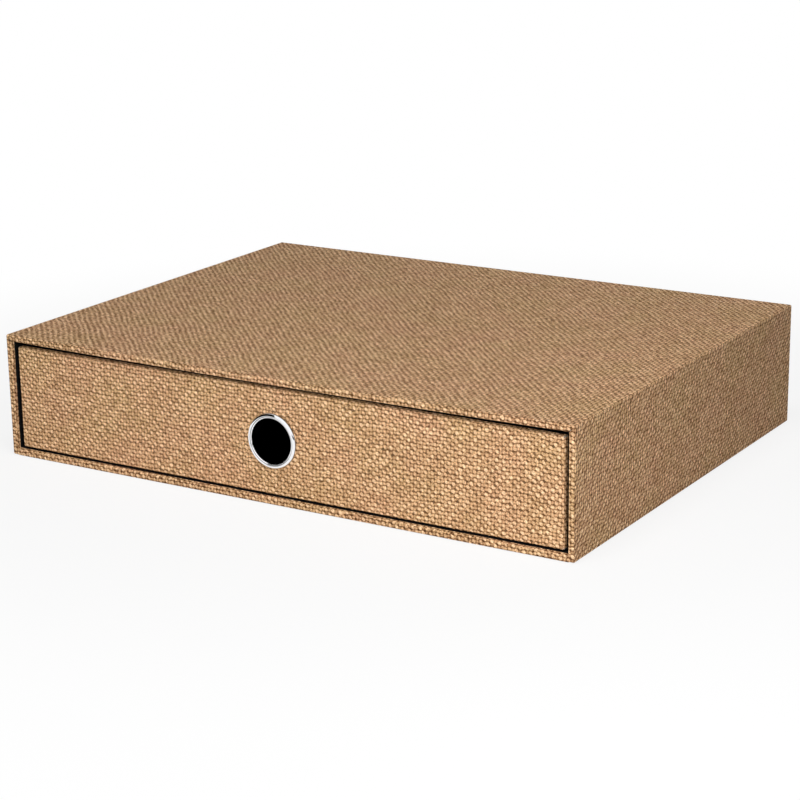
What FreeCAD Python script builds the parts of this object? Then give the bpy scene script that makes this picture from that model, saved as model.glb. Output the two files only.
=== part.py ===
"""File box with one drawer: grey board covered in embossed paper, with a chromed finger eyelet.

Millimetres. +Z is up, the drawer opens towards -Y, and the origin is the middle of the base.
"""
import FreeCAD, Part
import os
import re
import Sketcher
from FreeCAD import Placement, Rotation, Vector

# ---------------------------------------------------------------- driving sizes
SIZES = [
    ("case_width", 335.0, "casing, left to right"),
    ("case_depth", 255.0, "casing, front to back"),
    ("case_height", 66.0, "casing, base to lid"),
    ("case_board", 3.0, "grey board of the casing"),
    ("cover_gauge", 0.25, "embossed cover paper"),
    ("lining_gauge", 0.15, "black lining paper"),
    ("lining_set_back", 2.0, "lining starts this far behind the edge of a wall"),
    ("stay_gauge", 0.1, "gummed tape over the corners"),
    ("stay_leg", 12.0, "width of each leg of that tape"),
    ("stay_end_gap", 4.0, "tape ends this far short of the board"),
    ("board_edge_crush", 0.45, "crushed edge of the casing's boards, as a bevel"),
    ("lid_sag", 0.9, "how far the lid hangs at the middle of the mouth"),
    ("back_sag", 0.05, "how far it hangs over the back board"),
    ("case_turn_in", 15.0, "cover carried inside the mouth"),
    ("case_turn_under", 15.0, "cover carried under the base and over the back"),
    ("sheet_margin", 3.0, "base and back sheets stop this far from the edges"),
    ("slit_width", 0.3, "gap where the two turn-ins part at an upper corner"),
    ("slit_reach", 1.8, "how far that slit runs over the lip"),
    ("face_recess", 1.5, "drawer face behind the mouth"),
    ("face_side_gap", 2.2, "drawer face to casing, each side"),
    ("face_mid_gap", 0.8, "drawer face to the hanging lid, mid span"),
    ("face_bottom_gap", 1.0, "drawer face to the lower lip"),
    ("face_board", 3.0, "grey board of the drawer face"),
    ("face_edge_crush", 0.7, "crushed front edge of that board, as a bevel"),
    ("face_turn_back", 12.0, "cover carried round to the back of the face"),
    ("tray_board", 2.0, "grey board of the tray"),
    ("tray_paper", 0.2, "black covering paper of the tray"),
    ("tray_set_in", 0.6, "tray side inside the edge of the face"),
    ("tray_rim_drop", 1.2, "tray rim below the top of the face"),
    ("tray_float", 0.15, "play under the tray"),
    ("tray_back_gap", 0.3, "play behind the closed tray"),
    ("tray_turn_in", 12.0, "black paper carried down inside the rim"),
    ("tray_turn_under", 12.0, "black paper carried under the tray"),
    ("eyelet_hole_radius", 11.7, "finger hole, clear radius"),
    ("eyelet_metal", 0.4, "sheet of the ferrule"),
    ("eyelet_flange", 2.5, "hole edge to flange edge"),
    ("eyelet_crown", 1.2, "height of the flange's outer band"),
    ("eyelet_rim_height", 0.97, "height of the inner rim"),
    ("eyelet_groove_height", 0.75, "height left in the groove between them"),
    ("eyelet_groove_place", 0.8, "hole edge to that groove"),
    ("eyelet_clinch", 0.9, "width of the clinched end on the washer"),
    ("eyelet_play", 0.1, "ferrule tube in the boards"),
    ("washer_width", 2.4, "washer, inner to outer edge"),
    ("washer_metal", 0.5, "washer thickness"),
]

# ---------------------------------------------------------------- places worked out from them
LAYOUT = [
    ("cover_round", "board_edge_crush + 2 * cover_gauge"),
    ("case_front", "-case_depth / 2"),
    ("case_back", "case_depth / 2"),
    ("case_half", "case_width / 2"),
    ("form_half", "case_half - cover_gauge"),
    ("form_front", "case_front + cover_gauge"),
    ("form_back", "case_back - 2 * cover_gauge"),
    ("form_bottom", "2 * cover_gauge"),
    ("form_top", "case_height - cover_gauge"),
    ("cavity_half", "form_half - case_board"),
    ("cavity_back", "form_back - case_board"),
    ("cavity_floor", "form_bottom + case_board"),
    ("cavity_ceiling", "form_top - case_board"),
    ("lined_half", "cavity_half - lining_gauge"),
    ("lined_back", "cavity_back - lining_gauge"),
    ("lined_floor", "cavity_floor + lining_gauge"),
    ("lined_ceiling", "cavity_ceiling - lining_gauge"),
    ("turned_half", "cavity_half - cover_gauge"),
    ("turned_floor", "cavity_floor + cover_gauge"),
    ("turned_ceiling", "cavity_ceiling - cover_gauge"),
    ("turn_in_end", "case_front + case_turn_in"),
    ("lining_start", "form_front + lining_set_back"),
    ("mouth_half", "turned_half - lining_gauge"),
    ("mouth_floor", "turned_floor + lining_gauge"),
    ("mouth_ceiling", "turned_ceiling - lining_gauge"),
    ("face_half", "mouth_half - face_side_gap"),
    ("face_bottom", "mouth_floor + face_bottom_gap"),
    ("face_top", "mouth_ceiling - lid_sag - face_mid_gap"),
    ("face_middle", "(face_bottom + face_top) / 2"),
    ("face_front", "case_front + face_recess"),
    ("face_back", "face_front + face_board + 2 * cover_gauge"),
    ("face_round", "face_edge_crush + 2 * cover_gauge"),
    ("tray_half", "face_half - tray_set_in"),
    ("tray_back", "lined_back - tray_back_gap"),
    ("tray_bottom", "mouth_floor + tray_float"),
    ("tray_rim", "face_top - tray_rim_drop"),
    ("box_half", "tray_half - tray_paper"),
    ("box_front", "face_back + tray_paper"),
    ("box_back", "tray_back - tray_paper"),
    ("box_bottom", "tray_bottom + 2 * tray_paper"),
    ("box_rim", "tray_rim - tray_paper"),
    ("well_half", "box_half - tray_board"),
    ("well_front", "box_front + tray_board"),
    ("well_back", "box_back - tray_board"),
    ("well_floor", "box_bottom + tray_board"),
    ("bore_radius", "eyelet_hole_radius + eyelet_metal + eyelet_play"),
    ("washer_radius", "bore_radius + washer_width"),
    ("stack", "well_front + lining_gauge - face_front"),
]

PARTS_FOLDER = "parts"
NEAR = 0.01         # an edge this close to a plane lies on it

doc = FreeCAD.newDocument("file_box")
sizes = doc.addObject("Spreadsheet::Sheet", "Sizes")
layout = doc.addObject("Spreadsheet::Sheet", "Layout")
size_names = {name for name, _, _ in SIZES}
layout_names = {name for name, _ in LAYOUT}
subparts = []


def formula(text):
    """Say which sheet each name in the text comes from."""
    def place(match):
        word = match.group(0)
        if word in size_names:
            return "Sizes." + word
        if word in layout_names:
            return "Layout." + word
        return word
    return re.sub(r"[a-z_]+", place, text)


def value(text):
    """The number that a formula gives now."""
    return float(sizes.evalExpression(formula(text)))


def fill_sheets():
    for row, (name, size, note) in enumerate(SIZES, start=1):
        sizes.set(f"A{row}", note)
        sizes.set(f"B{row}", str(size))
        sizes.setAlias(f"B{row}", name)
    doc.recompute()
    for row, (name, text) in enumerate(LAYOUT, start=1):
        layout.set(f"A{row}", name.replace("_", " "))
        layout.set(f"B{row}", "=" + formula(text))
        layout.setAlias(f"B{row}", name)
        doc.recompute()


def keep(thing, node):
    """Mark an object as one of the box's own pieces."""
    thing.Label = node
    subparts.append(thing)
    return thing


# ---------------------------------------------------------------- building helpers
def block(name, low, high):
    """A box between two corners, each given as three formulas."""
    box = doc.addObject("Part::Box", name)
    for axis, side, start, end in zip("xyz", ("Length", "Width", "Height"), low, high):
        box.setExpression(f"Placement.Base.{axis}", formula(start))
        box.setExpression(side, formula(f"({end}) - ({start})"))
    return box


def centred_block(name, half, front, back, bottom, top):
    return block(name, (f"-({half})", front, bottom), (half, back, top))


def cut(name, base, *tools):
    """The base with each tool taken away in turn."""
    for number, tool in enumerate(tools):
        last = number == len(tools) - 1
        step = doc.addObject("Part::Cut", name if last else f"{name}_less_{tool.Name}")
        step.Base = base
        step.Tool = tool
        base = step
    return base


def common(name, *shapes):
    both = doc.addObject("Part::MultiCommon", name)
    both.Shapes = list(shapes)
    return both


def joined(name, *shapes):
    fuse = doc.addObject("Part::MultiFuse", name)
    fuse.Shapes = list(shapes)
    fuse.Refine = True
    return fuse


def chosen_edges(base, wanted):
    """Numbers of the base's edges for which wanted(edge, bounds) is true."""
    doc.recompute()
    return [
        number
        for number, edge in enumerate(base.Shape.Edges, start=1)
        if wanted(edge, edge.BoundBox)
    ]


def dressed(kind, name, base, size, wanted):
    """Fillet or bevel the wanted edges of the base, all by the same size."""
    amount = value(size)
    finish = doc.addObject(f"Part::{kind}", name)
    finish.Base = base
    finish.Edges = [(number, amount, amount) for number in chosen_edges(base, wanted)]
    return finish


def draw(sketch, start, steps):
    """Draw a closed outline and tie every corner of it to the sheets.

    A step is an end corner, or an arc's middle and end. Corners are pairs of formulas.
    """
    def point(corner):
        return Vector(value(corner[0]), value(corner[1]), 0)

    def tie(geometry, position, corner):
        for kind, text in zip(("DistanceX", "DistanceY"), corner):
            number = sketch.addConstraint(Sketcher.Constraint(kind, -1, 1, geometry, position, value(text)))
            sketch.setExpression(f"Constraints[{number}]", formula(text))

    previous_join = None
    first_join = None
    here = start
    for step in steps:
        end = step[-1]
        if len(step) == 1:
            geometry = sketch.addGeometry(Part.LineSegment(point(here), point(end)), False)
            forwards = True
        else:
            geometry = sketch.addGeometry(Part.Arc(point(here), point(step[0]), point(end)), False)
            drawn_start = sketch.getPoint(geometry, 1)
            forwards = drawn_start.distanceToPoint(point(here)) < drawn_start.distanceToPoint(point(end))
            middle = sketch.addGeometry(Part.Point(point(step[0])), True)
            tie(middle, 1, step[0])
            sketch.addConstraint(Sketcher.Constraint("PointOnObject", middle, 1, geometry))
        start_join = (geometry, 1 if forwards else 2)
        end_join = (geometry, 2 if forwards else 1)
        if previous_join:
            sketch.addConstraint(Sketcher.Constraint("Coincident", *previous_join, *start_join))
        else:
            first_join = start_join
        tie(*end_join, end)
        previous_join = end_join
        here = end
    sketch.addConstraint(Sketcher.Constraint("Coincident", *previous_join, *first_join))


def rectangle(left, low, right, high):
    """Start and steps of a rectangle's outline."""
    return (left, low), [((right, low),), ((right, high),), ((left, high),), ((left, low),)]


def new_body(node):
    return doc.addObject("PartDesign::Body", node)


def body_sketch(body, role, name):
    """A sketch on one of the body's own origin planes."""
    sketch = body.newObject("Sketcher::SketchObject", name)
    plane = next(part for part in body.Origin.OriginFeatures if part.Role == role)
    sketch.AttachmentSupport = [(plane, "")]
    sketch.MapMode = "FlatFace"
    return sketch


def pad(body, sketch, name, length, towards_back=False):
    feature = body.newObject("PartDesign::Pad", name)
    feature.Profile = sketch
    feature.setExpression("Length", formula(length))
    feature.Reversed = towards_back
    sketch.Visibility = False
    return feature


# ---------------------------------------------------------------- casing: shared forms
def sagged_block(name, half, bottom, top, bevel="0"):
    """A block whose top hangs in one arc, by lid_sag at the front and hardly at all at the back."""
    inner = f"({half} - ({bevel}))"
    high = f"({top} - ({bevel}))"
    low = f"({bottom} + ({bevel}))"
    sections = []
    for end, place, sag in (("front", "case_front", "lid_sag"), ("back", "case_back", "back_sag")):
        sketch = doc.addObject("Sketcher::SketchObject", f"{name}_{end}")
        sketch.Placement = Placement(Vector(0, 0, 0), Rotation(Vector(1, 0, 0), 90))
        sketch.setExpression("Placement.Base.y", formula(place))
        lid = (("0", f"{top} - {sag}"), (f"-{inner}", top))
        if value(bevel) > 0:
            draw(sketch, (f"-{inner}", bottom), [
                ((inner, bottom),), ((half, low),), ((half, high),), ((inner, top),),
                lid, ((f"-({half})", high),), ((f"-({half})", low),), ((f"-{inner}", bottom),),
            ])
        else:
            draw(sketch, (f"-{inner}", bottom), [
                ((half, bottom),), ((half, top),), lid, ((f"-{inner}", bottom),),
            ])
        sections.append(sketch)
    loft = doc.addObject("Part::Loft", name)
    loft.Sections = sections
    loft.Solid = True
    loft.Ruled = True
    return loft


def long_corner(half):
    """True for the edges that run front to back at the outer corners of a block."""
    def wanted(edge, bounds):
        runs_back = bounds.YLength > value("case_depth") / 2
        return runs_back and abs(edge.CenterOfMass.x) > value(half) - NEAR
    return wanted


def outer_edge(half, front, back):
    """True for every outer edge of a block: the long corners and both end loops."""
    corner = long_corner(half)

    def wanted(edge, bounds):
        at_front = bounds.YMax < value(front) + NEAR
        at_back = bounds.YMin > value(back) - NEAR
        return corner(edge, bounds) or at_front or at_back
    return wanted


def ceiling_prism(name, top_block, half, front, back, floor):
    """The space under a hanging ceiling, between side faces, a floor and two ends."""
    room = centred_block(f"{name}_room", half, front, back, floor, "case_height")
    return common(name, top_block, room)


fill_sheets()

outside = sagged_block("outside", "case_half", "cover_gauge", "case_height")
form_top = sagged_block("form_top", "form_half", "form_bottom", "form_top")
under_lid = sagged_block("under_lid", "case_half", "0", "cavity_ceiling")
under_lining = sagged_block("under_lining", "case_half", "0", "lined_ceiling")
under_turn_in = sagged_block("under_turn_in", "case_half", "0", "turned_ceiling")
under_lap = sagged_block("under_lap", "case_half", "0", "mouth_ceiling")
cavity = ceiling_prism("cavity", under_lid, "cavity_half", "case_front", "cavity_back", "cavity_floor")
lined_room = ceiling_prism(
    "lined_room", under_lining, "lined_half", "turn_in_end + lining_gauge", "lined_back", "lined_floor")
mouth = ceiling_prism("mouth", under_turn_in, "turned_half", "case_front", "turn_in_end", "turned_floor")
lapped_mouth = ceiling_prism(
    "lapped_mouth", under_lap, "mouth_half", "case_front", "turn_in_end + lining_gauge", "mouth_floor")
past_turn_in = ceiling_prism(
    "past_turn_in", under_lid, "cavity_half", "turn_in_end", "cavity_back", "cavity_floor")


def make_board_form():
    """The five boards as one hollow shape, every outer edge and the mouth's edge crushed."""
    length = centred_block("form_length", "case_half", "form_front", "form_back", "0", "case_height")
    sharp = common("form_sharp", form_top, length)
    solid = dressed("Chamfer", "form_solid", sharp, "board_edge_crush",
                    outer_edge("form_half", "form_front", "form_back"))
    hollow = cut("form_hollow", solid, cavity)

    def mouth_edge(edge, bounds):
        in_front = bounds.YMax < value("form_front") + NEAR
        inside = max(abs(bounds.XMin), abs(bounds.XMax)) < value("cavity_half") + NEAR
        low = value("cavity_floor") - NEAR
        high = value("cavity_ceiling") + NEAR
        return in_front and inside and bounds.ZMin > low and bounds.ZMax < high
    return solid, dressed("Chamfer", "board_form", hollow, "board_edge_crush", mouth_edge)


form_solid, board_form = make_board_form()


# ---------------------------------------------------------------- casing: boards
def make_casing_boards():
    """Lid and base boards span the full width; the sides and back stand between them."""
    lid = cut("lid", board_form, under_lid)
    keep(lid, "casing_top_board")
    base_slab = centred_block("base_slab", "case_half", "case_front", "case_back", "0", "cavity_floor")
    keep(common("base", board_form, base_slab), "casing_bottom_board")
    for node, left, right in (
        ("casing_left_board", "-case_half", "-cavity_half"),
        ("casing_right_board", "cavity_half", "case_half"),
    ):
        slab = block(f"{node}_slab", (left, "case_front", "cavity_floor"), (right, "case_back", "case_height"))
        keep(common(f"{node}_cut", board_form, under_lid, slab), node)
    back_slab = centred_block("back_slab", "cavity_half", "cavity_back", "case_back", "cavity_floor", "case_height")
    keep(common("back", board_form, under_lid, back_slab), "casing_back_board")


make_casing_boards()


# ---------------------------------------------------------------- casing: corner tapes and lining
def make_casing_stays():
    """Gummed tape over each long corner: a skin on the boards, kept only near the corners."""
    skin = sagged_block("stay_skin", "form_half + stay_gauge", "form_bottom - stay_gauge",
                        "form_top + stay_gauge", "board_edge_crush + (2 - sqrt(2)) * stay_gauge")
    length = centred_block(
        "stay_length", "case_half", "form_front + stay_end_gap", "form_back - stay_end_gap", "0", "case_height")
    corners = []
    for side, left, right in (
        ("left", "-case_half", "-form_half + stay_leg"),
        ("right", "form_half - stay_leg", "case_half"),
    ):
        for level, low, high in (
            ("low", "0", "form_bottom + stay_leg"),
            ("high", "form_top - stay_leg", "case_height"),
        ):
            corners.append(block(f"stay_{side}_{level}", (left, "case_front", low), (right, "case_back", high)))
    near_corners = joined("stay_corners", *corners)
    tape = common("stay_tape", cut("stay_shell", skin, form_solid), near_corners, length)
    return keep(tape, "casing_corner_stays")


def make_casing_lining():
    """A black band round the four walls, lapped over the turned-in cover, and a sheet on the back wall."""
    on_boards = ceiling_prism("band_on_boards", under_lid, "cavity_half", "turn_in_end", "lined_back", "cavity_floor")
    on_cover = ceiling_prism(
        "band_on_cover", under_turn_in, "turned_half", "lining_start", "turn_in_end", "turned_floor")
    band_room = joined("band_room", on_boards, on_cover)
    keep(cut("band", band_room, lined_room, lapped_mouth), "casing_band_lining")
    back = ceiling_prism("back_paper", under_lid, "cavity_half", "lined_back", "cavity_back", "cavity_floor")
    keep(back, "casing_back_lining")


casing_stays = make_casing_stays()
make_casing_lining()


# ---------------------------------------------------------------- casing: embossed cover
def make_mitre_slit(side):
    """Thin diagonal gap at an upper corner of the mouth, where the turned-in flaps part."""
    slit = doc.addObject("Part::Box", f"mitre_slit_{'left' if side < 0 else 'right'}")
    slit.setExpression("Length", formula("slit_reach + case_board"))
    slit.setExpression("Width", formula("case_turn_in + cover_gauge"))
    slit.setExpression("Height", formula("slit_width"))
    outwards = 45 if side > 0 else 135
    turn = Rotation(Vector(0, 1, 0), -outwards)
    start = turn.multVec(Vector(-value("case_board"), 0, -value("slit_width") / 2))
    slit.Placement.Rotation = turn
    slit.setExpression("Placement.Base.x", formula(f"{side} * turned_half + {start.x}"))
    slit.setExpression("Placement.Base.y", formula("case_front - cover_gauge"))
    slit.setExpression("Placement.Base.z", formula(f"turned_ceiling + {start.z}"))
    return slit


def make_casing_wrap():
    """One sheet over left, lid and right, folded in at the mouth, under the base and over the back."""
    length = centred_block(
        "outside_length", "case_half", "case_front", "case_back - cover_gauge", "0", "case_height")
    open_box = cut("outside_open", common("outside_sharp", outside, length), mouth)
    covered = dressed("Fillet", "covered", open_box, "cover_round",
                      outer_edge("case_half", "case_front", "case_back - cover_gauge"))
    base_window = centred_block(
        "base_window", "case_half - case_turn_under", "case_front - cover_gauge", "case_back", "0", "form_bottom")
    back_window = centred_block(
        "back_window", "case_half - case_turn_under", "form_back", "case_back",
        "0", "case_height - case_turn_under")
    lip_window = centred_block(
        "lip_window", "turned_half", "case_front - cover_gauge", "turn_in_end", "0", "turned_floor")
    wrap = cut("wrap", covered, past_turn_in, board_form, casing_stays,
               base_window, back_window, lip_window, make_mitre_slit(-1), make_mitre_slit(1))
    return keep(wrap, "casing_wrap")


def make_base_sheet(wrap):
    """Sheet under the base, brought up over the lower lip and folded in on the floor."""
    slab = centred_block("base_paper", "case_half - sheet_margin", "case_front + sheet_margin",
                         "case_back - sheet_margin", "0", "form_bottom")
    lip = centred_block("lip_paper", "turned_half", "case_front", "turn_in_end", "0", "turned_floor")

    def front_edge(edge, bounds):
        return bounds.YMax < value("case_front") + NEAR and bounds.XLength > value("turned_half")
    lip_round = dressed("Fillet", "lip_round", lip, "cover_round", front_edge)
    both = joined("base_paper_sharp", slab, lip_round)
    sheet = cut("base_sheet", both, board_form, casing_stays, wrap)
    return keep(sheet, "casing_base_sheet")


def make_back_sheet(wrap):
    """Sheet over the back, its lower edge folded under between the side turn-unders."""
    face = centred_block("back_paper_face", "case_half - sheet_margin", "form_back", "case_back",
                         "sheet_margin", "case_height - sheet_margin")
    fold = centred_block("back_paper_fold", "case_half - case_turn_under", "case_back - case_turn_under",
                         "case_back", "cover_gauge", "case_turn_under")

    def low_back_edge(edge, bounds):
        at_back = bounds.YMin > value("case_back") - NEAR
        return at_back and bounds.ZMax < value("cover_gauge") + NEAR
    fold_round = dressed("Fillet", "back_fold_round", fold, "cover_round", low_back_edge)
    sheet = cut("back_sheet", joined("back_paper_sharp", face, fold_round), form_solid, casing_stays, wrap)
    return keep(sheet, "casing_back_sheet")


casing_wrap = make_casing_wrap()
back_sheet = make_back_sheet(casing_wrap)
base_sheet = make_base_sheet(joined("wrap_and_back", casing_wrap, back_sheet))


# ---------------------------------------------------------------- drawer: eyelet bore
def make_eyelet_bore():
    """The round hole through the face and the tray's front, for the ferrule's tube."""
    bore = doc.addObject("Part::Cylinder", "eyelet_bore")
    bore.setExpression("Radius", formula("bore_radius"))
    bore.setExpression("Height", formula("stack + 2 * case_board"))
    bore.Placement.Rotation = Rotation(Vector(1, 0, 0), -90)
    bore.setExpression("Placement.Base.y", formula("face_front - case_board"))
    bore.setExpression("Placement.Base.z", formula("face_middle"))
    return bore


eyelet_bore = make_eyelet_bore()


# ---------------------------------------------------------------- drawer: tray boards
def make_tray_form():
    """The tray's five boards as one open box."""
    solid = centred_block("tray_solid", "box_half", "box_front", "box_back", "box_bottom", "box_rim")
    well = centred_block("well", "well_half", "well_front", "well_back", "well_floor", "case_height")
    return solid, cut("tray_form", solid, well)


def make_tray_boards(form):
    """A base board with the two sides on it, and the front and back between the sides."""
    base = centred_block("tray_base_slab", "box_half", "box_front", "box_back", "box_bottom", "well_floor")
    keep(common("tray_base", form, base), "tray_bottom_board")
    for node, left, right in (
        ("tray_left_board", "-box_half", "-well_half"),
        ("tray_right_board", "well_half", "box_half"),
    ):
        slab = block(f"{node}_slab", (left, "box_front", "well_floor"), (right, "box_back", "box_rim"))
        keep(common(f"{node}_cut", form, slab), node)
    back = centred_block("tray_back_slab", "well_half", "well_back", "box_back", "well_floor", "box_rim")
    keep(common("tray_back_cut", form, back), "tray_back_board")
    front = centred_block("tray_front_slab", "well_half", "box_front", "well_front", "well_floor", "box_rim")
    keep(cut("tray_front_cut", common("tray_front", form, front), eyelet_bore), "tray_front_board")


tray_solid, tray_form = make_tray_form()
make_tray_boards(tray_form)


# ---------------------------------------------------------------- drawer: tray tapes and papers
def make_tray_stays():
    """Gummed tape up each outer corner of the tray, short of the rim and the base."""
    sleeve = centred_block("tape_sleeve", "box_half + stay_gauge", "box_front - stay_gauge",
                           "box_back + stay_gauge", "box_bottom + stay_end_gap", "box_rim - stay_end_gap")
    corners = []
    for side, left, right in (
        ("left", "-tray_half", "-box_half + stay_leg"),
        ("right", "box_half - stay_leg", "tray_half"),
    ):
        for end, front, back in (
            ("front", "face_back", "box_front + stay_leg"),
            ("back", "box_back - stay_leg", "tray_back"),
        ):
            corners.append(block(f"tape_{side}_{end}", (left, front, "box_bottom"), (right, back, "box_rim")))
    tape = common("tray_tape", cut("tape_skin", sleeve, tray_solid), joined("tape_corners", *corners))
    return keep(tape, "tray_corner_stays")


def make_tray_linings():
    """A black band round the inner walls and a black sheet on the floor."""
    floor_top = "well_floor + lining_gauge"
    floor = centred_block("floor_paper", "well_half", "well_front", "well_back", "well_floor", floor_top)
    band = centred_block("well_band", "well_half", "well_front", "well_back",
                         floor_top, "box_rim - lining_set_back")
    inner = centred_block("lined_well", "well_half - lining_gauge", "well_front + lining_gauge",
                          "well_back - lining_gauge", "well_floor", "case_height")
    walls = cut("well_walls", band, inner, eyelet_bore)
    return keep(walls, "tray_wall_lining"), keep(floor, "tray_floor_lining")


def make_washer_room():
    """The round window in the turned-in paper where the eyelet's washer lies on the lining."""
    room = doc.addObject("Part::Cylinder", "washer_room")
    room.setExpression("Radius", formula("washer_radius + eyelet_play"))
    room.setExpression("Height", formula("tray_board"))
    room.Placement.Rotation = Rotation(Vector(1, 0, 0), -90)
    room.setExpression("Placement.Base.y", formula("well_front"))
    room.setExpression("Placement.Base.z", formula("face_middle"))
    return room


def make_tray_wrap(stays, linings):
    """Black sheet round the tray, over the rim and down inside it, and in under the base."""
    outer = centred_block("tray_outer", "tray_half", "face_back", "tray_back",
                          "tray_bottom + tray_paper", "tray_rim")
    rim_mouth = centred_block("rim_mouth", "well_half - lining_gauge - tray_paper",
                              "well_front + lining_gauge + tray_paper",
                              "well_back - lining_gauge - tray_paper", "well_floor", "case_height")
    below_turn_in = centred_block("below_turn_in", "well_half - lining_gauge", "well_front + lining_gauge",
                                  "well_back - lining_gauge", "well_floor", "tray_rim - tray_turn_in")
    base_window = centred_block("tray_window", "tray_half - tray_turn_under", "face_back + tray_turn_under",
                                "tray_back - tray_turn_under", "tray_bottom", "box_bottom")
    wrap = cut("tray_cover", outer, rim_mouth, below_turn_in, tray_form, stays, *linings, base_window,
               eyelet_bore, make_washer_room())
    return keep(wrap, "tray_wrap")


def make_tray_base_sheet(wrap):
    """Black sheet under the tray, lapped over the turned-in edges."""
    sheet = centred_block("tray_base_paper", "tray_half - sheet_margin", "face_back + sheet_margin",
                          "tray_back - sheet_margin", "tray_bottom", "box_bottom")
    return keep(cut("tray_base_fit", sheet, wrap), "tray_base_sheet")


make_tray_base_sheet(make_tray_wrap(make_tray_stays(), make_tray_linings()))


# ---------------------------------------------------------------- drawer: face
def put_at_face(body, depth):
    """Place a body whose own origin is the middle of the face at a depth behind its front."""
    body.setExpression("Placement.Base.y", formula(depth))
    body.setExpression("Placement.Base.z", formula("face_middle"))


def front_or_corner(front):
    """True for a flat block's front loop and the four edges that run back from its corners."""
    def wanted(edge, bounds):
        return bounds.YMin < value(front) + NEAR
    return wanted


def make_face_board():
    """The face's board: front edges crushed, back margin pressed in for the turned-back paper."""
    body = new_body("face_board")
    half = "face_half - cover_gauge"
    rise = "(face_top - face_bottom) / 2 - cover_gauge"
    outline = body_sketch(body, "XZ_Plane", "face_outline")
    draw(outline, *rectangle(f"-({half})", f"-({rise})", half, rise))
    board = pad(body, outline, "face_thickness", "face_board", towards_back=True)
    crushed = body.newObject("PartDesign::Chamfer", "face_crushed_edge")
    crushed.Base = (board, [f"Edge{number}" for number in chosen_edges(board, front_or_corner("0"))])
    crushed.setExpression("Size", formula("face_edge_crush"))
    board.Visibility = False
    raised = body_sketch(body, "XZ_Plane", "face_raised_back")
    inner_half = f"{half} - face_turn_back"
    inner_rise = f"{rise} - face_turn_back"
    draw(raised, *rectangle(f"-({inner_half})", f"-({inner_rise})", inner_half, inner_rise))
    pad(body, raised, "face_raised_thickness", "face_board + cover_gauge", towards_back=True)
    hole = body_sketch(body, "XZ_Plane", "face_hole")
    circle = hole.addGeometry(Part.Circle(Vector(0, 0, 0), Vector(0, 0, 1), value("bore_radius")), False)
    hole.addConstraint(Sketcher.Constraint("Coincident", circle, 3, -1, 1))
    radius = hole.addConstraint(Sketcher.Constraint("Radius", circle, value("bore_radius")))
    hole.setExpression(f"Constraints[{radius}]", formula("bore_radius"))
    pocket = body.newObject("PartDesign::Pocket", "face_bore")
    pocket.Profile = hole
    pocket.Type = "ThroughAll"
    pocket.Midplane = True
    hole.Visibility = False
    put_at_face(body, "face_front + cover_gauge")
    return keep(body, "face_board")


def make_face_cover(board):
    """Embossed paper over the face's front and edges, turned back on a margin behind it."""
    sharp = centred_block("face_outer", "face_half", "face_front", "face_back", "face_bottom", "face_top")
    outer = dressed("Fillet", "face_outer_round", sharp, "face_round", front_or_corner("face_front"))
    return keep(cut("face_paper", outer, board, eyelet_bore), "face_cover")


make_face_cover(make_face_board())


# ---------------------------------------------------------------- drawer: eyelet
def revolved(node, start, steps):
    """A body turned from an outline drawn as radius and depth behind the face."""
    body = new_body(node)
    outline = body_sketch(body, "XY_Plane", f"{node}_outline")
    draw(outline, start, steps)
    turn = body.newObject("PartDesign::Revolution", f"{node}_turn")
    turn.Profile = outline
    turn.ReferenceAxis = (outline, ["V_Axis"])
    turn.Angle = 360
    outline.Visibility = False
    put_at_face(body, "face_front")
    return keep(body, node)


def make_ferrule():
    """Chromed ferrule in one pressed sheet.

    From the hole outwards: a tube through the face, a rolled inner rim, a groove, a hollow outer band,
    and at the back the end of the tube clinched flat over the washer.
    """
    hole = "eyelet_hole_radius"
    tube = f"({hole} + eyelet_metal)"
    groove = f"({hole} + eyelet_groove_place)"
    rim = f"({hole} + eyelet_groove_place / 2)"
    flange = f"({hole} + eyelet_flange)"
    band = f"({groove} + {flange}) / 2"
    back = "(stack + washer_metal)"
    clinch = f"({tube} + eyelet_clinch)"
    rim_top = "eyelet_rim_height"
    groove_top = "eyelet_groove_height"
    return revolved("eyelet_ferrule", (hole, back), [
        ((hole, f"-{rim_top} * 0.55"),),
        ((f"{hole} + eyelet_groove_place * 0.15", f"-{rim_top} * 0.87"),),
        ((rim, f"-{rim_top}"),),
        ((f"{hole} + eyelet_groove_place * 0.82", f"-{rim_top} * 0.65 - {groove_top} * 0.35"),),
        ((groove, f"-{groove_top}"),),
        ((f"{groove} * 0.55 + {band} * 0.45", f"-{groove_top} * 0.3 - eyelet_crown * 0.7"),),
        ((band, "-eyelet_crown"),),
        ((f"{band} * 0.4 + {flange} * 0.6", "-eyelet_crown * 0.78"),),
        ((flange, "0"),),
        ((f"{flange} - eyelet_metal", "0"),),
        ((band, "-eyelet_crown + eyelet_metal"),),
        ((groove, f"-{groove_top} + eyelet_metal"),),
        ((tube, "0"),),
        ((tube, back),),
        ((clinch, back),),
        ((clinch, f"{back} + eyelet_metal"),),
        ((tube, f"{back} + eyelet_metal"),),
        ((hole, back),),
    ])


def make_washer():
    """Flat back ring with a bevelled outer edge, under the ferrule's clinched end."""
    inner = "bore_radius"
    back = "stack + washer_metal"
    return revolved("eyelet_washer", (inner, "stack"), [
        (("washer_radius", "stack"),),
        (("washer_radius", "stack + washer_metal / 2"),),
        (("washer_radius - washer_metal / 2", back),),
        ((inner, back),),
        ((inner, "stack"),),
    ])


make_ferrule()
make_washer()


# ---------------------------------------------------------------- check and write
def check_document():
    doc.recompute()
    for thing in doc.Objects:
        if "Invalid" in thing.State or "Error" in thing.State:
            raise RuntimeError(f"{thing.Name} did not build")
    for piece in subparts:
        if piece.Shape.isNull() or not piece.Shape.isValid() or not piece.Shape.Solids:
            raise RuntimeError(f"{piece.Label} is not a sound solid")


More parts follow.
